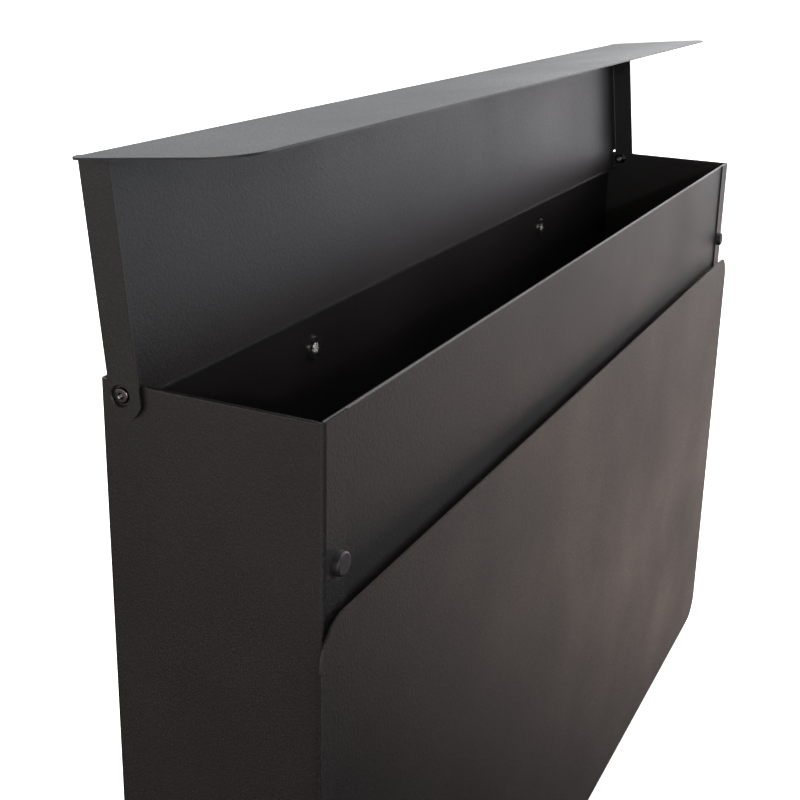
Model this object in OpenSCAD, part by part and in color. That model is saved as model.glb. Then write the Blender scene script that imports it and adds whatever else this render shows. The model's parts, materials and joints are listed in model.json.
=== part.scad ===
// Wall mounted mailbox in folded sheet steel: a shallow wide box with an open top, a front plate that
// stands off the box, and a lid whose ears swing on a screw at each end. Millimetres, +Z up, -Y is the
// front. The origin is on the wall plane (Y = 0), in the middle of the four wall holes.
// The lid is drawn fully open. Its hinge axis runs along X through [0, pivot_y, pivot_z].

/* [Body] */
// Outer width of the box
body_w = 676; // [500:1:900]
// Depth of the box, from its rear flanges to its front ones
body_d = 105; // [100:1:140]
// Height of the box
body_h = 425; // [380:1:600]
// Thickness of the sheet steel
sheet = 1; // [0.8:0.1:1.2]
// Width of the side panels' front and rear flanges
side_flange = 19; // [15:1:30]
// Height of the folded edge along the open top
hem_h = 6; // [4:0.5:8]
// Depth of the rear panel's top rail
rail_d = 8; // [7:0.5:9]

/* [Front plate] */
// Width of the front plate and of the lid's front flange
plate_w = 696; // [690:1:700]
// Height of the front plate
plate_h = 346; // [320:1:350]
// Distance from the front of the box to the front of the plate
plate_out = 4.6; // [4.2:0.1:6]
// Radius of the plate's corners
plate_r = 19; // [5:1:40]

/* [Lid] */
// Height of the lid's front flange
flange_h = 81.2; // [78:0.2:84]
// Depth of the lid's cheeks, from the panel's outer face
cheek_h = 16.2; // [15.5:0.1:16.6]
// Radius of the lid's ears about the hinge axis
ear_r = 10.4; // [9.9:0.1:11]
// Gap between a side panel and the cheek beside it
cheek_gap = 1.4; // [1:0.1:2]
// Angle between the open and the closed lid, in degrees
lid_travel = 95.8; // [90:0.1:95.8]
// Gap that stays under the closed lid
lid_rest_gap = 0.3; // [0.2:0.1:0.5]

/* [Wall bushings] */
// Gap that the bushings keep between the wall and the box, for the open lid's back edge
wall_gap = 6; // [5:0.5:12]
// Distance between the wall holes across the box
hole_span_x = 340; // [200:5:480]
// Distance between the wall holes up the box
hole_span_z = 355; // [200:5:360]
// Bore of each wall hole
hole_bore = 6.4; // [5:0.1:8]

/* [Hidden] */

$fn = 64;
eps = 0.01;

black_coat = [0.09, 0.09, 0.09];
black_screw = [0.05, 0.05, 0.05];
black_rubber = [0.07, 0.07, 0.07];
bright_zinc = [0.75, 0.75, 0.76];

// Folded corners: outer and inner radius of every bend
bend_out = 2 * sheet;
bend_in = sheet;

// Box
side_x = body_w / 2;
top_z = body_h / 2;
rear_y = -wall_gap;
front_y = rear_y - body_d;
inset_w = body_w - 2 * (sheet + bend_in);
panel_face_y = front_y + sheet;
front_back_y = front_y + 2 * sheet;
rear_face_y = rear_y - 2 * sheet;
hem_front_y = front_y + 3 * sheet;
hem_back_y = rear_y - 24;
tray_lip = 10;
drain_d = 6;
drain_span_x = 560;
drain_span_y = 60;

// Hinge: the axis, and the lid panel's place around it
pivot_y = rear_y - 12;
pivot_z = top_z - 5.2;
lid_over = top_z + lid_rest_gap + sheet - pivot_z;
flange_setback = 0.4;
lid_reach = pivot_y - front_y + plate_out - flange_setback;
cheek_under = cheek_h - lid_over;
ear_trim = sheet;
fold_slit = 0.4;
strip_reach = 6.5;
notch_reach = 7.5;
strip_w = body_w - 8;
strip_r = 7;
cheek_x = side_x + cheek_gap + sheet;
flange_top_r = plate_w / 2 - cheek_x + bend_out;
rail_z = top_z - 12.6;

// Hinge hardware, M4: each ear has a pressed cup, and the low round head of its screw lies in it
screw_r = 2;
pivot_bore_r = 2.05;
body_bore_r = 2.25;
cup_r = 4.55;
cup_floor_r = 4.3;
cup_lip = 0.4;
head_r = 3.45;
head_h = 1;
head_round = 0.75;
head_play = 0.07;
socket_af = 2.5;
socket_depth = 1.3;
tip_h = 0.6;
washer_r = 4.5;
washer_t = 0.8;
nut_af = 7;
nut_h = 3.2;
collar_r = 3;
collar_h = 1.6;
play = 0.1;
cup_depth = cheek_gap - play;

// Front plate and what holds it
plate_top_z = pivot_z + lid_over - flange_h - 1.3;
plate_mid_z = plate_top_z - plate_h / 2;
plate_back_y = front_y - plate_out + sheet;
spacer_r = 6;
stud_r = 2.5;
stud_span_x = 500;
stud_span_z = 240;
stud_hole_r = 2.8;
stud_tail = 6;
plate_nut_r = 5.8;
plate_nut_h = 4;
plate_nut_af = 8;

// Bumpers under the lid's flange
bumper_x = side_x - 11.5;
bumper_z = top_z - 63;
bumper_r = 5.2;
bumper_out = plate_out - flange_setback - sheet - 0.2;
bumper_stem_r = 2;
bumper_barb_r = 3;

// Wall bushings
barrel_r = 5;
rim_r = 6.2;

// A rectangle whose four corners are true arcs, from [0, 0] up and to the right
module round_rect(w, h, r) {
    translate([r, 0]) square([w - 2 * r, h]);
    translate([0, r]) square([w, h - 2 * r]);
    for (x = [r, w - r])
        for (y = [r, h - r])
            translate([x, y]) circle(r);
}

// Outline of a sheet folded into a channel: w deep inside its open side, h across its back
module channel_outline(w, h) {
    difference() {
        round_rect(2 * w, h, bend_out);
        translate([sheet, sheet]) round_rect(2 * w - 2 * sheet, h - 2 * sheet, bend_in);
        translate([w, -eps]) square([2 * w, h + 2 * eps]);
    }
}

// Outline of a sheet folded back on itself, with its fold at the top
module hem_outline(h) {
    square([2 * sheet, h - sheet]);
    translate([sheet, h - sheet]) circle(sheet);
}

// Puts a child drawn in the YZ plane, as [y, z], along X and centred on X = 0
module along_x(length) {
    translate([-length / 2, 0, 0]) rotate([90, 0, 90]) linear_extrude(height = length) children();
}

// A rod along X from x0 to x1, or along Y from y0 to y1
module rod_x(r, x0, x1) {
    translate([x0, 0, 0]) rotate([0, 90, 0]) cylinder(r = r, h = x1 - x0);
}
module rod_y(r, y0, y1) {
    translate([0, y0, 0]) rotate([-90, 0, 0]) cylinder(r = r, h = y1 - y0);
}

// Puts its children at the four corners of a rectangle in the XZ plane
module at_corners(span_x, span_z, mid_z = 0) {
    for (x = [-span_x / 2, span_x / 2])
        for (z = [mid_z - span_z / 2, mid_z + span_z / 2])
            translate([x, 0, z]) children();
}

module at_pivot() {
    translate([0, pivot_y, pivot_z]) children();
}

// Draws a piece for the left end, and its mirror image for the right one
module on_end(right) {
    if (right) mirror([1, 0, 0]) children();
    else children();
}

// Side panel: a channel with a hem along its top edge, drawn for the left end
module side_panel() {
    hem_length = hem_back_y - hem_front_y;
    color(black_coat)
    difference() {
        union() {
            difference() {
                translate([-side_x, front_y, -top_z])
                    linear_extrude(height = body_h) channel_outline(side_flange, body_d);
                translate([-side_x - eps, hem_front_y, top_z - sheet])
                    cube([sheet + 2 * eps, hem_length, sheet + eps]);
            }
            translate([-side_x, hem_back_y, top_z - hem_h])
                rotate([90, 0, 0]) linear_extrude(height = hem_length) hem_outline(hem_h);
        }
        at_pivot() rod_x(body_bore_r, -side_x - 1, -side_x + 4);
        translate([-bumper_x, 0, bumper_z]) rod_y(bumper_stem_r, front_y - 1, front_y + 3);
    }
}

// Rear panel: its top edge is folded forward into a rail that the open lid lands on
module rear_panel() {
    height = rail_z + top_z;
    color(black_coat)
    difference() {
        along_x(inset_w) translate([rear_y - sheet, rail_z]) mirror([1, 0]) rail_outline(rail_d, height);
        at_corners(hole_span_x, hole_span_z) rod_y(barrel_r, rear_face_y - 1, rear_y);
    }
}

// Outline of a sheet that hangs down by h from the fold of a rail of width w
module rail_outline(w, h) {
    difference() {
        translate([0, -h - bend_out]) round_rect(2 * w, h + bend_out, bend_out);
        translate([sheet, -h - bend_out]) round_rect(2 * w, h + bend_out - sheet, bend_in);
        translate([-eps, -h - bend_out - eps]) square([2 * w + 1, bend_out + eps]);
        translate([w, -h]) square([w + 1, h + 1]);
    }
}

// Front panel: flat, behind the side panels' flanges, with a hem along its top edge
module front_panel() {
    color(black_coat)
    difference() {
        union() {
            translate([-inset_w / 2, panel_face_y, -top_z]) cube([inset_w, sheet, body_h - 2 * sheet]);
            along_x(inset_w) translate([panel_face_y, top_z - hem_h]) hem_outline(hem_h);
        }
        at_corners(stud_span_x, stud_span_z, plate_mid_z) rod_y(stud_hole_r, front_y, front_back_y + 1);
        for (x = [-bumper_x, bumper_x])
            translate([x, 0, bumper_z]) rod_y(bumper_stem_r, front_y, front_back_y + 1);
    }
}

// Bottom panel: a tray with its long edges turned up, and four drain holes
module bottom_panel() {
    color(black_coat)
    difference() {
        along_x(inset_w)
            translate([rear_face_y, -top_z]) rotate(90) channel_outline(tray_lip, rear_face_y - front_back_y);
        for (x = [-drain_span_x / 2, drain_span_x / 2])
            for (y = [-drain_span_y / 2, drain_span_y / 2])
                translate([x, y + (front_y + rear_y) / 2, -top_z - 1]) cylinder(d = drain_d, h = 4);
    }
}

// Wall bushings: each has a rim inside the rear panel, and a barrel that ends on the wall plane
module wall_bushings() {
    color(bright_zinc)
    at_corners(hole_span_x, hole_span_z) difference() {
        union() {
            rod_y(rim_r, rear_face_y - sheet, rear_face_y);
            rod_y(barrel_r, rear_face_y - eps, 0);
        }
        rod_y(hole_bore / 2, rear_face_y - 2, 1);
    }
}

module front_plate() {
    color(black_coat)
    translate([-plate_w / 2, plate_back_y, plate_top_z - plate_h])
        rotate([90, 0, 0]) linear_extrude(height = sheet) round_rect(plate_w, plate_h, plate_r);
}

// Studs welded to the back of the front plate
module plate_studs() {
    color(bright_zinc)
    at_corners(stud_span_x, stud_span_z, plate_mid_z)
        rod_y(stud_r, plate_back_y, front_back_y + stud_tail);
}

module plate_spacers() {
    color(black_rubber)
    at_corners(stud_span_x, stud_span_z, plate_mid_z) difference() {
        rod_y(spacer_r, plate_back_y, panel_face_y);
        rod_y(stud_r, plate_back_y - 1, panel_face_y + 1);
    }
}

module plate_nuts() {
    color(bright_zinc)
    at_corners(stud_span_x, stud_span_z, plate_mid_z) difference() {
        union() {
            rod_y(plate_nut_r, front_back_y, front_back_y + sheet);
            translate([0, front_back_y + sheet - eps, 0]) rotate([-90, 0, 0])
                cylinder(d = plate_nut_af / cos(30), h = plate_nut_h + eps, $fn = 6);
        }
        rod_y(stud_r, front_back_y - 1, front_back_y + plate_nut_h + 2);
    }
}

// Rubber bumper pushed through the side panel's flange and the front panel
module bumper() {
    color(black_rubber)
    translate([-bumper_x, 0, bumper_z]) rotate([90, 0, 0]) rotate_extrude() {
        translate([0, -front_y]) square([bumper_r, bumper_out - 1]);
        translate([0, -front_y]) square([bumper_r - 1, bumper_out]);
        translate([bumper_r - 1, bumper_out - 1 - front_y]) intersection() {
            circle(1);
            square(1);
        }
        translate([0, -front_back_y - eps]) square([bumper_stem_r, 2 * sheet + 2 * eps]);
        translate([0, -front_back_y - 3]) polygon([
            [0, 0], [bumper_stem_r, 0], [bumper_barb_r, 2], [bumper_barb_r, 3], [0, 3]
        ]);
    }
}

// Turns the closed lid, drawn around the hinge axis, to where it stands open
module open_lid() {
    at_pivot() rotate([-lid_travel, 0, 0]) children();
}

// Lid: a panel with a narrower strip behind the hinge, a cheek down each end, and a front flange
module lid_shell() {
    color(black_coat)
    open_lid() difference() {
        union() {
            translate([0, bend_out - lid_reach, lid_over]) rotate([-90, 0, 0])
                linear_extrude(height = lid_reach - bend_out - notch_reach) lid_arch();
            translate([0, -notch_reach, lid_over - sheet]) linear_extrude(height = sheet) strip_outline();
            for (x = [-cheek_x, cheek_x - sheet])
                translate([x, 0, 0]) rotate([90, 0, 90]) linear_extrude(height = sheet) cheek_outline();
            lid_flange();
            along_x(2 * (cheek_x - bend_out)) translate([-lid_reach, lid_over]) lid_bend();
            for (right = [false, true])
                on_end(right) cup_back();
        }
        rod_x(pivot_bore_r, -cheek_x - 1, cheek_x + 1);
        for (right = [false, true])
            on_end(right) cup_cut();
    }
}

// Back of the left ear's cup, which ends close to the side panel
module cup_back() {
    root = 0.2;
    translate([-side_x - cheek_gap - root, 0, 0]) rotate([0, 90, 0])
        cylinder(h = root + cup_depth, r1 = cup_r + sheet, r2 = cup_floor_r + sheet);
}

// Cup pressed into the left ear from its outer face, with a broken lip
module cup_cut() {
    translate([-cheek_x - eps, 0, 0]) rotate([0, 90, 0]) {
        cylinder(h = cup_lip, r1 = cup_r + cup_lip, r2 = cup_r);
        cylinder(h = cup_depth + eps, r1 = cup_r, r2 = cup_floor_r);
    }
}

// Outline of the strip behind the hinge, which drops between the side panels: its back corners are round
module strip_outline() {
    length = notch_reach + strip_reach;
    intersection() {
        translate([-strip_w / 2, -length]) round_rect(strip_w, 2 * length, strip_r);
        translate([-strip_w / 2, -eps]) square([strip_w, length + eps]);
    }
}

// Outline of a cheek below its fold, with the round ear about the hinge axis, as [y, z]
module cheek_outline() {
    front = sheet + fold_slit - lid_reach;
    translate([front, -cheek_under]) square([-front, cheek_h - bend_out]);
    intersection() {
        circle(ear_r);
        translate([-ear_r, -cheek_under]) square([2 * ear_r, cheek_h - ear_trim]);
    }
}

// Cross-section of the lid across its cheeks, hung from its outer face: an arch of folded sheet
module lid_arch() {
    translate([-cheek_x, 0]) difference() {
        round_rect(2 * cheek_x, 2 * cheek_h, bend_out);
        translate([sheet, sheet]) round_rect(2 * (cheek_x - sheet), 2 * cheek_h, bend_in);
        translate([-eps, cheek_h]) square([2 * cheek_x + 2 * eps, cheek_h + 1]);
    }
}

// Quarter ring of the fold between the lid's panel and its flange, as [y, z]
module lid_bend() {
    difference() {
        translate([bend_out, -bend_out]) circle(bend_out);
        translate([bend_out, -bend_out]) circle(bend_in);
        translate([bend_out, -2 * bend_out - eps]) square(2 * bend_out + 1);
        translate([-eps, -2 * bend_out - eps]) square([2 * bend_out, bend_out]);
    }
}

// The lid's front flange: it stands past the cheeks and lines up with the front plate
module lid_flange() {
    translate([0, -lid_reach + sheet, lid_over - flange_h]) rotate([90, 0, 0]) linear_extrude(height = sheet)
    difference() {
        translate([-plate_w / 2, 0]) union() {
            intersection() {
                round_rect(plate_w, flange_h * 2, plate_r);
                square([plate_w, flange_h - 2 * flange_top_r]);
            }
            translate([0, flange_h / 2]) round_rect(plate_w, flange_h / 2, flange_top_r);
        }
        translate([bend_out - cheek_x, flange_h - bend_out])
            square([2 * (cheek_x - bend_out), bend_out + 1]);
    }
}

// Low round-head pivot screw for the left end, in the ear's cup, with a hexagon socket
module pivot_screw() {
    seat_x = -cheek_x + cup_depth - head_play;
    tip_x = -side_x + sheet + washer_t + nut_h + collar_h;
    color(black_screw)
    at_pivot() difference() {
        union() {
            translate([seat_x, 0, 0]) rotate([0, -90, 0]) rotate_extrude() head_outline();
            rod_x(screw_r, seat_x - eps, tip_x);
            translate([tip_x - eps, 0, 0]) rotate([0, 90, 0])
                cylinder(h = tip_h + eps, r1 = screw_r, r2 = screw_r - tip_h);
        }
        translate([seat_x - head_h - 1, 0, 0]) rotate([0, 90, 0])
            cylinder(h = socket_depth + 1, d = socket_af / cos(30), $fn = 6);
    }
}

// Half of the screw head's outline, as [radius, height over its seat]
module head_outline() {
    square([head_r - head_round, head_h]);
    square([head_r, head_h - head_round]);
    translate([head_r - head_round, head_h - head_round]) intersection() {
        circle(head_round);
        square(head_round);
    }
}

module inner_washer() {
    color(black_screw)
    at_pivot() difference() {
        rod_x(washer_r, -side_x + sheet, -side_x + sheet + washer_t);
        rod_x(screw_r, -side_x, -side_x + sheet + washer_t + 1);
    }
}

module lock_nut() {
    nut_x = -side_x + sheet + washer_t;
    color(black_screw)
    at_pivot() difference() {
        union() {
            translate([nut_x, 0, 0]) rotate([0, 90, 0]) cylinder(d = nut_af / cos(30), h = nut_h, $fn = 6);
            rod_x(collar_r, nut_x, nut_x + nut_h + collar_h);
        }
        rod_x(screw_r, nut_x - 1, nut_x + nut_h + collar_h + 1);
    }
}

on_end(false) side_panel();  // left_side_panel
on_end(true) side_panel();  // right_side_panel
rear_panel();
front_panel();
bottom_panel();
wall_bushings();
front_plate();
plate_studs();
plate_spacers();
plate_nuts();
on_end(false) bumper();  // left_bumper
on_end(true) bumper();  // right_bumper
lid_shell();
on_end(false) pivot_screw();  // left_pivot_screw
on_end(true) pivot_screw();  // right_pivot_screw
on_end(false) inner_washer();  // left_inner_washer
on_end(true) inner_washer();  // right_inner_washer
on_end(false) lock_nut();  // left_lock_nut
on_end(true) lock_nut();  // right_lock_nut
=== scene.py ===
import json
import math

import bmesh
import bpy
from mathutils import Matrix, Vector


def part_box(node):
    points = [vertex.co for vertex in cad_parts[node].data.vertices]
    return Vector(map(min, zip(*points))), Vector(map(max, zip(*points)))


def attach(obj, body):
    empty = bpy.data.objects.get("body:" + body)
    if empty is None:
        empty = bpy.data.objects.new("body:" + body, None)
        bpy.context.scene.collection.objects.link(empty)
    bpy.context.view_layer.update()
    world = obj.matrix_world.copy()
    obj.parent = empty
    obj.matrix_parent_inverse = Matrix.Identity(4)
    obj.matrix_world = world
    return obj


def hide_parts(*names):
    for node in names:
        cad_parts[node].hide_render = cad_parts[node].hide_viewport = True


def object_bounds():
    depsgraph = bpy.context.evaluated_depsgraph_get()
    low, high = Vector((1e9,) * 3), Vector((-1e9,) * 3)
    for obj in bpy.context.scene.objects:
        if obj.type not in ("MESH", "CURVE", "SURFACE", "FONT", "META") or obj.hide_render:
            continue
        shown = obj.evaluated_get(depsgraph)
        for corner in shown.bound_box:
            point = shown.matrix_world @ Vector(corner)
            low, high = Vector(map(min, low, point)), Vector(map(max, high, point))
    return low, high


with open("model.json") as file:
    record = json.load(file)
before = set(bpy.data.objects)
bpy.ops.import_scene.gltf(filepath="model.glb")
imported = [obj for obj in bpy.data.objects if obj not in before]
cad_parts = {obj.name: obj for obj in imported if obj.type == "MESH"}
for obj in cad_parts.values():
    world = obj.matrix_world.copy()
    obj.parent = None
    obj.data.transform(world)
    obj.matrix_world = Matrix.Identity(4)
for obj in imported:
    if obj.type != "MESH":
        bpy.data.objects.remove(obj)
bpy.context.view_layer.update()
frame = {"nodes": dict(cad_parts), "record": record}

scene = bpy.context.scene
nodes = frame["nodes"]
hinge = Vector(frame["record"]["behaviour"]["joints"][0]["pos_m"])

# ---------------------------------------------------------------- node material helpers


class Maker:
    """Builds one node material with few lines."""

    def __init__(self, name):
        self.material = bpy.data.materials.new(name)
        self.material.use_nodes = True
        self.tree = self.material.node_tree
        self.tree.nodes.clear()
        self.output = self.tree.nodes.new("ShaderNodeOutputMaterial")
        self.shader = self.tree.nodes.new("ShaderNodeBsdfPrincipled")
        self.link(self.shader.outputs["BSDF"], self.output.inputs["Surface"])
        self.place = self.tree.nodes.new("ShaderNodeTexCoord").outputs["Object"]

    def link(self, source, target):
        self.tree.links.new(source, target)

    def fix(self, **values):
        """Sets constants on the shader's own sockets."""
        for name, value in values.items():
            self.shader.inputs[name.replace("_", " ")].default_value = value

    def noise(self, scale, detail=3.0, roughness=0.5, stretch=(1, 1, 1)):
        node = self.tree.nodes.new("ShaderNodeTexNoise")
        node.inputs["Scale"].default_value = scale
        node.inputs["Detail"].default_value = detail
        node.inputs["Roughness"].default_value = roughness
        mapping = self.tree.nodes.new("ShaderNodeMapping")
        mapping.inputs["Scale"].default_value = stretch
        self.link(self.place, mapping.inputs["Vector"])
        self.link(mapping.outputs["Vector"], node.inputs["Vector"])
        return node.outputs["Fac"]

    def ramp(self, source, low, high, at=(0.35, 0.65)):
        """Colour from low to high as source goes between the two places."""
        node = self.tree.nodes.new("ShaderNodeValToRGB")
        first, last = node.color_ramp.elements
        first.position, last.position = at
        first.color = (*low, 1)
        last.color = (*high, 1)
        self.link(source, node.inputs["Fac"])
        return node.outputs["Color"]

    def scaled(self, source, low, high, at=(0.0, 1.0)):
        """A number from low to high as source goes between the two places."""
        node = self.tree.nodes.new("ShaderNodeMapRange")
        node.inputs["From Min"].default_value, node.inputs["From Max"].default_value = at
        node.inputs["To Min"].default_value = low
        node.inputs["To Max"].default_value = high
        self.link(source, node.inputs["Value"])
        return node.outputs["Result"]

    def math(self, operation, a, b):
        node = self.tree.nodes.new("ShaderNodeMath")
        node.operation = operation
        self.link(a, node.inputs[0])
        self.link(b, node.inputs[1])
        return node.outputs["Value"]

    def mix(self, factor, a, b):
        node = self.tree.nodes.new("ShaderNodeMix")
        node.data_type = "RGBA"
        self.link(factor, node.inputs[0])
        for value, socket in ((a, node.inputs[6]), (b, node.inputs[7])):
            if isinstance(value, tuple):
                socket.default_value = (*value, 1)
            else:
                self.link(value, socket)
        return node.outputs[2]

    def bump(self, heights):
        """Stacks bumps, given as (height, strength, distance in metres)."""
        normal = None
        for height, strength, distance in heights:
            node = self.tree.nodes.new("ShaderNodeBump")
            node.inputs["Strength"].default_value = strength
            node.inputs["Distance"].default_value = distance
            self.link(height, node.inputs["Height"])
            if normal is not None:
                self.link(normal, node.inputs["Normal"])
            normal = node.outputs["Normal"]
        self.link(normal, self.shader.inputs["Normal"])

    def edge_wear(self, width):
        """1 on sharp edges, 0 elsewhere, from the bevelled normal."""
        bevel = self.tree.nodes.new("ShaderNodeBevel")
        bevel.samples = 6
        bevel.inputs["Radius"].default_value = width
        geometry = self.tree.nodes.new("ShaderNodeNewGeometry")
        dot = self.tree.nodes.new("ShaderNodeVectorMath")
        dot.operation = "DOT_PRODUCT"
        self.link(bevel.outputs["Normal"], dot.inputs[0])
        self.link(geometry.outputs["Normal"], dot.inputs[1])
        return self.scaled(dot.outputs["Value"], 1.0, 0.0, (0.72, 0.99))


# ---------------------------------------------------------------- materials


def powder_coat(name, dark, light, roughness):
    """Fine-textured black powder coat: grains under half a millimetre, cloudy gloss, smoother edges."""
    make = Maker(name)
    cloud = make.noise(9.0, 4.0)
    orange_peel = make.noise(650.0, 2.0, 0.5)
    grain = make.noise(1500.0, 2.5, 0.65)
    wear = make.edge_wear(0.0007)
    base = make.ramp(cloud, dark, light)
    speck = make.ramp(grain, (0.0, 0.0, 0.0), (1.0, 1.0, 1.0), (0.56, 0.68))
    lighter = tuple(3.0 * c for c in light)
    make.link(make.mix(speck, base, lighter), make.shader.inputs["Base Color"])
    cloudy = make.scaled(cloud, roughness - 0.05, roughness + 0.05, (0.3, 0.7))
    grainy = make.math("ADD", cloudy, make.scaled(grain, -0.12, 0.12, (0.3, 0.7)))
    rough = make.math("SUBTRACT", grainy, make.scaled(wear, 0.0, 0.16))
    make.link(rough, make.shader.inputs["Roughness"])
    make.fix(IOR=1.5, Specular_IOR_Level=0.4)
    make.bump([(orange_peel, 0.35, 0.00025), (grain, 0.75, 0.00012)])
    return make.material


def screw_black(name):
    """Blackened steel, polished enough for hard glints, with fine turning marks."""
    make = Maker(name)
    cloud = make.noise(300.0, 3.0)
    base = make.ramp(cloud, (0.06, 0.06, 0.06), (0.11, 0.11, 0.11))
    make.link(base, make.shader.inputs["Base Color"])
    make.link(make.scaled(cloud, 0.14, 0.24), make.shader.inputs["Roughness"])
    make.fix(Metallic=1.0)
    make.bump([(make.noise(2400.0, 2.0), 0.2, 0.00003)])
    return make.material


def worn_thread(name):
    """Steel whose black has rubbed off on the thread's crests."""
    make = Maker(name)
    rubbed = make.noise(500.0, 3.0)
    base = make.ramp(rubbed, (0.30, 0.30, 0.31), (0.62, 0.62, 0.64))
    make.link(base, make.shader.inputs["Base Color"])
    make.link(make.scaled(rubbed, 0.18, 0.34), make.shader.inputs["Roughness"])
    make.fix(Metallic=1.0)
    make.bump([(make.noise(2400.0, 2.0), 0.2, 0.00003)])
    return make.material


def rubber(name):
    """Matt black rubber with a moulded skin and pale dust."""
    make = Maker(name)
    dust = make.noise(700.0, 4.0)
    base = make.ramp(dust, (0.010, 0.010, 0.012), (0.022, 0.022, 0.026))
    make.link(base, make.shader.inputs["Base Color"])
    make.link(make.scaled(dust, 0.42, 0.58), make.shader.inputs["Roughness"])
    make.fix(IOR=1.5)
    make.bump([(make.noise(1600.0, 2.0), 0.35, 0.00008)])
    return make.material


def zinc(name):
    """Bright zinc plate: slightly blue and yellow clouds, fine scratches."""
    make = Maker(name)
    cloud = make.noise(260.0, 3.0)
    scratch = make.noise(900.0, 2.0, 0.5, (1, 6, 1))
    base = make.ramp(cloud, (0.62, 0.63, 0.66), (0.76, 0.75, 0.70))
    make.link(base, make.shader.inputs["Base Color"])
    make.link(make.scaled(scratch, 0.16, 0.38), make.shader.inputs["Roughness"])
    make.fix(Metallic=1.0)
    make.bump([(scratch, 0.15, 0.00003)])
    return make.material


COAT_DARK = (0.0095, 0.0090, 0.0090)
COAT_LIGHT = (0.0135, 0.0128, 0.0128)
COAT_ROUGHNESS = 0.46
finishes = {
    "black_coat": powder_coat("powder_coat", COAT_DARK, COAT_LIGHT, COAT_ROUGHNESS),
    "black_screw": screw_black("black_oxide"),
    "black_rubber": rubber("black_rubber"),
    "bright_zinc": zinc("bright_zinc"),
}
for part in frame["record"]["subparts"]:
    piece = nodes[part["node"]]
    piece.data.materials.clear()
    piece.data.materials.append(finishes[part["material_slot"]])

# ---------------------------------------------------------------- small bevels on cut and turned edges

SHEET_EDGE = 0.00022
SHEET_NODES = [
    "left_side_panel", "right_side_panel", "rear_panel", "front_panel",
    "bottom_panel", "front_plate", "lid_shell",
]
TURNED_EDGE = 0.00030
TURNED_NODES = ["wall_bushings", "left_inner_washer", "right_inner_washer"]
BEVEL_FROM = math.radians(50)
for name in SHEET_NODES + TURNED_NODES:
    bevel = nodes[name].modifiers.new("edge_bevel", "BEVEL")
    bevel.width = SHEET_EDGE if name in SHEET_NODES else TURNED_EDGE
    bevel.segments = 2
    bevel.limit_method = "ANGLE"
    bevel.angle_limit = BEVEL_FROM
    bevel.harden_normals = True

# ---------------------------------------------------------------- screws and nuts, lofted from rings

MM = 0.001
SEGMENTS = 72
SHARP_FROM = math.radians(32)
# A face's place in its piece's list of materials
FIRST, SECOND = 0, 1
M4_RADIUS = 2.0
M5_RADIUS = 2.5
BORE_PLAY = 0.02


def hexagon(across_flats, limit=math.inf):
    """Radius of a hexagon by angle, with its corners cut back to a circle."""
    def radius(angle, along):
        from_flat = (angle + math.pi / 6) % (math.pi / 3) - math.pi / 6
        return min(limit, across_flats / 2 / math.cos(from_flat))
    return radius


def thread(outer, depth, pitch, end, end_chamfer):
    """Radius of a screw thread, by angle and place along the axis, chamfered towards its end."""
    flank = 1.6

    def radius(angle, along):
        turn = (along / pitch - angle / (2 * math.pi)) % 1.0
        groove = depth * (1 - min(1.0, flank * abs(2 * turn - 1)))
        return min(outer - groove, outer - max(0.0, along - end + end_chamfer))
    return radius


def turned_piece(name, profile, places, closed, materials):
    """Joins rings of points round each place's axis into one mesh. The profile lists each ring as its
    place along the axis and its radius in millimetres, and its material. A place is an origin and an
    axis. A closed profile runs round a bore, and an open one gets a cap at both ends."""
    spots, faces, kinds = [], [], []
    rings = len(profile)
    for origin, axis in places:
        first = len(spots)
        up = Vector((0, 0, 1))
        beside = axis.cross(up)
        for along, radius, _ in profile:
            for step in range(SEGMENTS):
                angle = 2 * math.pi * step / SEGMENTS
                size = radius(angle, along) if callable(radius) else radius
                outwards = math.cos(angle) * up + math.sin(angle) * beside
                spots.append(origin + MM * (along * axis + size * outwards))
        for ring in range(rings if closed else rings - 1):
            here = first + ring * SEGMENTS
            after = first + (ring + 1) % rings * SEGMENTS
            for step in range(SEGMENTS):
                other = (step + 1) % SEGMENTS
                faces.append((here + step, here + other, after + other, after + step))
                kinds.append(profile[ring][2])
        if not closed:
            for ring in (0, rings - 1):
                faces.append([first + ring * SEGMENTS + step for step in range(SEGMENTS)])
                kinds.append(profile[ring][2])
    mesh = bpy.data.meshes.new(name)
    mesh.from_pydata(spots, [], faces)
    mesh.polygons.foreach_set("material_index", kinds)
    tool = bmesh.new()
    tool.from_mesh(mesh)
    bmesh.ops.recalc_face_normals(tool, faces=tool.faces)
    tool.to_mesh(mesh)
    tool.free()
    mesh.polygons.foreach_set("use_smooth", [True] * len(mesh.polygons))
    mesh.set_sharp_from_angle(angle=SHARP_FROM)
    for material in materials:
        mesh.materials.append(material)
    piece = bpy.data.objects.new(name, mesh)
    scene.collection.objects.link(piece)
    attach(piece, "box")
    return piece


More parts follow.
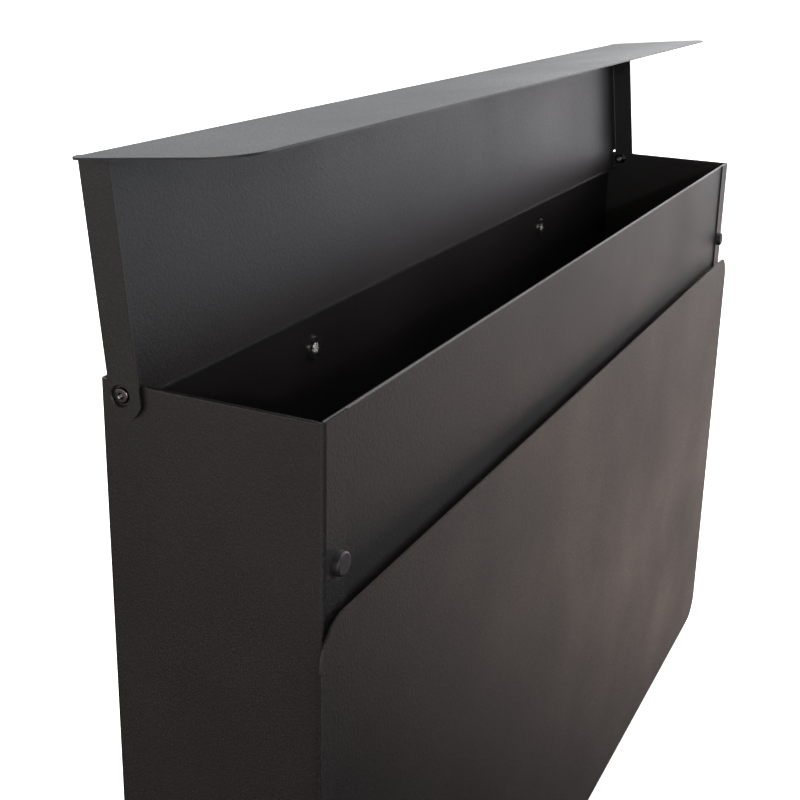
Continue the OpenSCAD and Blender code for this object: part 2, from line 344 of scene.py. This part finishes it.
def screw_profile(length):
    """Low round head with a hexagon socket, plain shank, and a thread that ends in a chamfer."""
    head_r, head_h, head_round = 3.45, 1.0, 0.75
    round_steps = 8
    socket, socket_depth = 2.5, 1.3
    mouth_cut, mouth_r = 0.15, 1.55
    edge_cut = 0.05
    thread_start, thread_depth, pitch, tip = 4.2, 0.4, 0.7, 0.6
    rings_per_turn = 10
    face_r = head_r - head_round
    profile = [
        (socket_depth, hexagon(socket), FIRST),
        (mouth_cut, hexagon(socket), FIRST),
        (0.0, hexagon(socket + 2 * mouth_cut, mouth_r), FIRST),
        (0.0, face_r, FIRST),
    ]
    for step in range(1, round_steps + 1):
        turn = math.pi / 2 * step / round_steps
        along = head_round * (1 - math.cos(turn))
        profile.append((along, face_r + head_round * math.sin(turn), FIRST))
    profile += [
        (head_h - edge_cut, head_r, FIRST),
        (head_h, head_r - edge_cut, FIRST),
        (head_h, M4_RADIUS, FIRST),
        (thread_start, M4_RADIUS, SECOND),
    ]
    grooved = thread(M4_RADIUS, thread_depth, pitch, length, tip)
    threaded = length - thread_start
    rings = int(threaded / pitch * rings_per_turn)
    for step in range(1, rings + 1):
        profile.append((thread_start + threaded * step / rings, grooved, SECOND))
    return profile


def nut_profile(across_flats, height, bore, seat=(0.0, 0.0), collar=(0.0, 0.0)):
    """Hexagon nut with chamfered corners, on a round seat or none, under a collar with a soft ring or
    none. The seat and the collar are given as radius and height."""
    seat_r, low_end = seat
    collar_r, collar_h = collar
    high_end = low_end + height
    flat_r = across_flats / 2
    corner_r = flat_r / math.cos(math.pi / 6)
    edge_cut, bore_cut = 0.15, 0.35
    seat_step, seat_edge = 0.1, 0.45
    collar_round, ring_sunk, ring_lip = 0.5, 0.25, 0.12
    corner_cuts = [(0.0, flat_r - edge_cut), (0.2, flat_r + edge_cut), (0.55, corner_r)]
    profile = []
    if low_end > 0:
        profile += [
            (0.0, seat_r - seat_step, FIRST),
            (edge_cut, seat_r, FIRST),
            (seat_edge, seat_r, FIRST),
            (low_end, corner_r + seat_step, FIRST),
        ]
    for rise, limit in corner_cuts:
        profile.append((low_end + rise, hexagon(across_flats, limit), FIRST))
    for drop, limit in reversed(corner_cuts):
        profile.append((high_end - drop, hexagon(across_flats, limit), FIRST))
    if collar_h > 0:
        top = high_end + collar_h
        mouth_r = collar_r - collar_round
        profile += [
            (high_end, collar_r, FIRST),
            (top - collar_round, collar_r, FIRST),
            (top - edge_cut, collar_r - edge_cut, FIRST),
            (top, mouth_r, FIRST),
            (top - ring_sunk, mouth_r - ring_lip, SECOND),
            (top - ring_sunk, bore, SECOND),
        ]
    else:
        profile += [(high_end, bore + bore_cut, FIRST), (high_end - bore_cut, bore, FIRST)]
    profile += [(bore_cut, bore, FIRST), (0.0, bore + bore_cut, FIRST)]
    return profile


lock_nut_profile = nut_profile(
    across_flats=7.0, height=3.2, bore=M4_RADIUS + BORE_PLAY, collar=(3.0, 1.6),
)
flange_nut_profile = nut_profile(
    across_flats=8.0, height=4.0, bore=M5_RADIUS + BORE_PLAY, seat=(5.8, 1.0),
)
screw_finishes = [finishes["black_screw"], worn_thread("worn_thread")]
nut_finishes = [finishes["black_screw"], finishes["black_rubber"]]
ends = {"left": Vector((1, 0, 0)), "right": Vector((-1, 0, 0))}
for end, inwards in ends.items():
    screw_low, screw_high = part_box(f"{end}_pivot_screw")
    nut_low, nut_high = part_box(f"{end}_lock_nut")
    head_x, nut_x = (screw_low[0], nut_low[0]) if end == "left" else (screw_high[0], nut_high[0])
    length = (screw_high[0] - screw_low[0]) / MM
    head_place = Vector((head_x, hinge.y, hinge.z))
    nut_place = Vector((nut_x, hinge.y, hinge.z))
    screw = turned_piece(
        f"{end}_screw", screw_profile(length), [(head_place, inwards)], False, screw_finishes,
    )
    nut = turned_piece(
        f"{end}_nut", lock_nut_profile, [(nut_place, inwards)], True, nut_finishes,
    )
    for piece, node in ((screw, f"{end}_pivot_screw"), (nut, f"{end}_lock_nut")):
        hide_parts(node)

stud_low, stud_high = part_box("plate_studs")
plate_nut_low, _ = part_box("plate_nuts")
plate_nut_places = []
for x in (stud_low[0] + M5_RADIUS * MM, stud_high[0] - M5_RADIUS * MM):
    for z in (stud_low[2] + M5_RADIUS * MM, stud_high[2] - M5_RADIUS * MM):
        plate_nut_places.append((Vector((x, plate_nut_low[1], z)), Vector((0, 1, 0))))
flange_nuts = turned_piece(
    "flange_nuts", flange_nut_profile, plate_nut_places, True, [finishes["bright_zinc"]],
)
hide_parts("plate_nuts")

# ---------------------------------------------------------------- floor, light, camera

low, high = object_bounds()
FLOOR_DROP = 0.006
FLOOR_REACH = 30.0


def floor_sheet(name, reach):
    """A flat floor grid, with a softly varied pale paint."""
    steps = 24
    spots = []
    for row in range(steps + 1):
        y = reach * (2 * row / steps - 1)
        for column in range(steps + 1):
            x = reach * (2 * column / steps - 1)
            spots.append((x, y, low.z - FLOOR_DROP))
    faces = []
    for row in range(steps):
        for column in range(steps):
            corner = row * (steps + 1) + column
            faces.append((corner, corner + 1, corner + steps + 2, corner + steps + 1))
    mesh = bpy.data.meshes.new(name)
    mesh.from_pydata(spots, [], faces)
    floor = bpy.data.objects.new(name, mesh)
    scene.collection.objects.link(floor)
    make = Maker("pale_floor")
    cloud = make.noise(1.4, 3.0)
    make.link(make.ramp(cloud, (0.88, 0.88, 0.88), (0.92, 0.92, 0.92)), make.shader.inputs["Base Color"])
    make.link(make.scaled(cloud, 0.78, 0.86), make.shader.inputs["Roughness"])
    make.fix(Emission_Color=(1, 1, 1, 1), Emission_Strength=0.95)
    floor.data.materials.append(make.material)
    return floor


floor = floor_sheet("floor", FLOOR_REACH)
floor.visible_diffuse = False
floor.visible_glossy = False

WARM = (1.25, 1.0, 0.9)
ROSE = (1.1, 0.95, 1.0)
PLAIN = (1.0, 1.0, 1.0)
COOL = (0.9, 1.0, 1.05)
# The studio's soft banks of light, as parts of the sky. The way to each one is an angle from +X towards
# the front and a height, and after them stands half its width, all in degrees. Then come tint and level.
LIGHT_BANKS = [
    ("right_low", -5, -22, 22, WARM, 3.2),
    ("right_high", -5, 12, 22, PLAIN, 2.1),
    ("right_front", 14, 12, 22, ROSE, 3.5),
    ("front_right", 50, 20, 24, ROSE, 1.9),
    ("left", 160, 0, 40, WARM, 0.75),
    ("back_left", 200, 0, 40, WARM, 0.75),
]
# The walls all round, brightest level with the object and gone this far above and below, as a sine
WALL_TINT = COOL
WALL_LEVEL = 1.45
WALL_TOP = 0.3


def bank_direction(turn, height):
    """Unit vector at an angle from +X towards the front and at a height, both in degrees."""
    turn, height = math.radians(turn), math.radians(height)
    level = math.cos(height)
    return Vector((math.cos(turn) * level, -math.sin(turn) * level, math.sin(height)))


def studio_world():
    """A sky that is the sum of its walls and its banks of light."""
    world = bpy.data.worlds.new("studio")
    world.use_nodes = True
    tree = world.node_tree
    direction = tree.nodes.new("ShaderNodeTexCoord").outputs["Generated"]

    def fade(source, start, end):
        """0 at start, 1 at end, with a soft shoulder at both."""
        node = tree.nodes.new("ShaderNodeMapRange")
        node.interpolation_type = "SMOOTHSTEP"
        node.inputs["From Min"].default_value = start
        node.inputs["From Max"].default_value = end
        tree.links.new(source, node.inputs["Value"])
        return node.outputs["Result"]

    def coloured(amount, tint, level):
        node = tree.nodes.new("ShaderNodeVectorMath")
        node.operation = "SCALE"
        node.inputs[0].default_value = [level * part for part in tint]
        tree.links.new(amount, node.inputs["Scale"])
        return node.outputs["Vector"]

    parts = tree.nodes.new("ShaderNodeSeparateXYZ")
    tree.links.new(direction, parts.inputs["Vector"])
    height = tree.nodes.new("ShaderNodeMath")
    height.operation = "ABSOLUTE"
    tree.links.new(parts.outputs["Z"], height.inputs[0])
    total = coloured(fade(height.outputs["Value"], WALL_TOP, 0.0), WALL_TINT, WALL_LEVEL)
    for _, turn, rise, half_width, tint, level in LIGHT_BANKS:
        facing = tree.nodes.new("ShaderNodeVectorMath")
        facing.operation = "DOT_PRODUCT"
        facing.inputs[1].default_value = bank_direction(turn, rise)
        tree.links.new(direction, facing.inputs[0])
        edge = math.cos(math.radians(half_width))
        bank = coloured(fade(facing.outputs["Value"], edge, 1.0), tint, level)
        added = tree.nodes.new("ShaderNodeVectorMath")
        tree.links.new(total, added.inputs[0])
        tree.links.new(bank, added.inputs[1])
        total = added.outputs["Vector"]
    tree.links.new(total, tree.nodes["Background"].inputs["Color"])
    return world


scene.world = studio_world()
scene.view_settings.view_transform = "Standard"


def soft_light(name, place, target, size, power):
    """A square lamp that faces its target."""
    light = bpy.data.lights.new(name, "AREA")
    light.shape = "SQUARE"
    light.size = size
    light.energy = power
    lamp = bpy.data.objects.new(name, light)
    lamp.location = place
    lamp.rotation_euler = (Vector(target) - Vector(place)).to_track_quat("-Z", "Y").to_euler()
    scene.collection.objects.link(lamp)


OVERHEAD_PLACE = (1.8, 0.6, 4.0)
OVERHEAD_SIZE = 5.0
OVERHEAD_WATTS = 375
soft_light("overhead", OVERHEAD_PLACE, (low + high) / 2, OVERHEAD_SIZE, OVERHEAD_WATTS)
# A small lamp behind the camera, for the hard glints on the screws
GLINT_TOWARDS = Vector((-0.70, -0.59, 0.29))
GLINT_AWAY = 2.2
GLINT_SIZE = 0.06
GLINT_WATTS = 9
left_hinge = Vector((low.x, hinge.y, hinge.z))
soft_light("glint", left_hinge + GLINT_AWAY * GLINT_TOWARDS, left_hinge, GLINT_SIZE, GLINT_WATTS)

SENSOR_WIDTH = 36.0
LENS = 56.91
SHIFT_X = -0.0532
SHIFT_Y = -0.0946
CAMERA_PLACE = (-0.7218, -0.3318, 0.3889)
CAMERA_YAW = -65.67
CAMERA_PITCH = -17.14
CAMERA_ROLL = 1.77

camera_data = bpy.data.cameras.new("camera")
camera_data.sensor_width = SENSOR_WIDTH
camera_data.lens = LENS
camera_data.shift_x = SHIFT_X
camera_data.shift_y = SHIFT_Y
camera_data.dof.use_dof = False
camera = bpy.data.objects.new("camera", camera_data)
scene.collection.objects.link(camera)
camera.location = CAMERA_PLACE
yaw = Matrix.Rotation(math.radians(CAMERA_YAW), 3, "Z")
pitch = Matrix.Rotation(math.radians(90 + CAMERA_PITCH), 3, "X")
roll = Matrix.Rotation(math.radians(CAMERA_ROLL), 3, "Z")
camera.rotation_euler = (yaw @ pitch @ roll).to_euler()
scene.camera = camera
